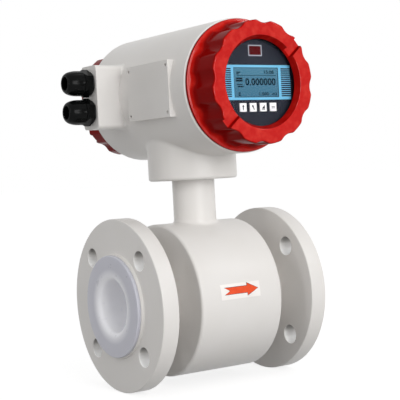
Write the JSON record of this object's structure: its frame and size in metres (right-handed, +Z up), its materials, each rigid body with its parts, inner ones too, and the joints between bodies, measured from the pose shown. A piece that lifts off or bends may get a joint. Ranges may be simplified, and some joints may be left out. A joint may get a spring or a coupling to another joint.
{
  "type": "electromagnetic flow meter",
  "caption": "Flanged electromagnetic flow meter: lined pipe in a round coil housing, with a display converter between red screw lids on a neck above it.",
  "frame": {"origin": "on the pipe bore's axis, midway between the two sealing faces", "axes": "+X along the pipe in the flow direction, display facing -Y, +Z up through the neck"},
  "size_m": [0.214, 0.2466, 0.3454],
  "materials": {
    "light_grey_paint": "semi-gloss light warm grey paint",
    "red_lid_paint": "glossy red paint",
    "liner_plastic": "smooth translucent white fluoroplastic",
    "magnet_steel": "plain soft magnetic steel",
    "copper_winding": "enamelled copper wire",
    "screw_steel": "bright zinc-plated steel",
    "electrode_alloy": "polished stainless steel",
    "white_insulator": "plain white plastic",
    "brass_spacer": "plain brass",
    "circuit_board": "green solder mask",
    "black_plastic": "semi-gloss black plastic",
    "black_rubber": "matt black rubber",
    "clear_glass": "clear tempered glass",
    "panel_slate": "dark slate overlay",
    "bezel_blue": "light blue overlay",
    "lcd_screen": "backlit teal display",
    "infrared_red": "dark red filter plastic",
    "key_white": "white key cap",
    "carrier_plastic": "black moulded plastic",
    "label_white": "white label film",
    "terminal_green": "green terminal plastic"
  },
  "bodies": {
    "meter": {"inlet_flange": "light_grey_paint", "outlet_flange": "light_grey_paint", "measuring_tube": "light_grey_paint", "coil_housing": "light_grey_paint", "inlet_end_plate": "light_grey_paint", "outlet_end_plate": "light_grey_paint", "neck_tube": "light_grey_paint", "converter_housing": "light_grey_paint", "liner": "liner_plastic", "pole_piece_upper": "magnet_steel", "pole_piece_lower": "magnet_steel", "return_yoke": "magnet_steel", "coil_upper": "copper_winding", "coil_lower": "copper_winding", "yoke_screws": "screw_steel", "electrode_nuts": "screw_steel", "board_screws": "screw_steel", "terminal_screws": "screw_steel", "neck_set_screw": "screw_steel", "electrode_front": "electrode_alloy", "electrode_rear": "electrode_alloy", "electrode_bushes": "white_insulator", "terminal_posts": "white_insulator", "front_standoffs": "brass_spacer", "middle_standoffs": "brass_spacer", "rear_standoffs": "brass_spacer", "display_board": "circuit_board", "main_board": "circuit_board", "power_board": "circuit_board", "terminal_board": "circuit_board", "upper_gland_body": "black_plastic", "lower_gland_body": "black_plastic", "signal_lead": "black_rubber", "neck_seal": "black_rubber", "gland_gaskets": "black_rubber", "display_panel": "panel_slate", "display_bezel": "bezel_blue", "lcd_module": "lcd_screen", "infrared_window": "infrared_red", "display_carrier": "carrier_plastic", "key_switches": "carrier_plastic", "flow_label": "label_white", "terminal_blocks": "terminal_green"},
    "front_lid_travel": {"front_lid_seal": "black_rubber"},
    "front_lid": {"front_lid": "red_lid_paint", "glass_gasket": "black_rubber", "front_glass": "clear_glass", "glass_retaining_ring": "screw_steel"},
    "rear_lid_travel": {"rear_lid_seal": "black_rubber"},
    "rear_lid": {"rear_lid": "red_lid_paint"},
    "upper_gland_travel": {"upper_gland_seal": "black_rubber"},
    "upper_gland_nut": {"upper_gland_nut": "black_plastic"},
    "lower_gland_travel": {"lower_gland_seal": "black_rubber"},
    "lower_gland_nut": {"lower_gland_nut": "black_plastic"},
    "key_1": {"key_1": "key_white"},
    "key_2": {"key_2": "key_white"},
    "key_3": {"key_3": "key_white"},
    "key_4": {"key_4": "key_white"}
  },
  "joints": [
    {"name": "front_lid_travel", "type": "slide", "parent": "meter", "child": "front_lid_travel", "axis": [0, -1, 0], "range_m": [0, 0.0101]},
    {"name": "front_lid_turn", "type": "hinge", "parent": "front_lid_travel", "child": "front_lid", "pos_m": [0, -0.088, 0.2004], "axis": [0, -1, 0], "range_deg": [0, 1800]},
    {"name": "rear_lid_travel", "type": "slide", "parent": "meter", "child": "rear_lid_travel", "axis": [0, 1, 0], "range_m": [0, 0.0101]},
    {"name": "rear_lid_turn", "type": "hinge", "parent": "rear_lid_travel", "child": "rear_lid", "pos_m": [0, 0.088, 0.2004], "axis": [0, 1, 0], "range_deg": [0, 1800]},
    {"name": "upper_gland_travel", "type": "slide", "parent": "meter", "child": "upper_gland_travel", "axis": [-1, 0, 0], "range_m": [0, 0.00758]},
    {"name": "upper_gland_turn", "type": "hinge", "parent": "upper_gland_travel", "child": "upper_gland_nut", "pos_m": [-0.087, 0.043, 0.2144], "axis": [-1, 0, 0], "range_deg": [0, 1800]},
    {"name": "lower_gland_travel", "type": "slide", "parent": "meter", "child": "lower_gland_travel", "axis": [-1, 0, 0], "range_m": [0, 0.00758]},
    {"name": "lower_gland_turn", "type": "hinge", "parent": "lower_gland_travel", "child": "lower_gland_nut", "pos_m": [-0.087, 0.043, 0.1864], "axis": [-1, 0, 0], "range_deg": [0, 1800]},
    {"name": "key_1_press", "type": "slide", "parent": "meter", "child": "key_1", "axis": [0, 1, 0], "range_m": [0, 0.0005], "stiffness_N_per_m": 1000, "springref_m": -0.001},
    {"name": "key_2_press", "type": "slide", "parent": "meter", "child": "key_2", "axis": [0, 1, 0], "range_m": [0, 0.0005], "stiffness_N_per_m": 1000, "springref_m": -0.001},
    {"name": "key_3_press", "type": "slide", "parent": "meter", "child": "key_3", "axis": [0, 1, 0], "range_m": [0, 0.0005], "stiffness_N_per_m": 1000, "springref_m": -0.001},
    {"name": "key_4_press", "type": "slide", "parent": "meter", "child": "key_4", "axis": [0, 1, 0], "range_m": [0, 0.0005], "stiffness_N_per_m": 1000, "springref_m": -0.001}
  ],
  "couplings": [
    {"joint": "front_lid_travel", "follows": "front_lid_turn", "m_per_rad": 0.00031831},
    {"joint": "rear_lid_travel", "follows": "rear_lid_turn", "m_per_rad": 0.00031831},
    {"joint": "upper_gland_travel", "follows": "upper_gland_turn", "m_per_rad": 0.00023873},
    {"joint": "lower_gland_travel", "follows": "lower_gland_turn", "m_per_rad": 0.00023873}
  ]
}
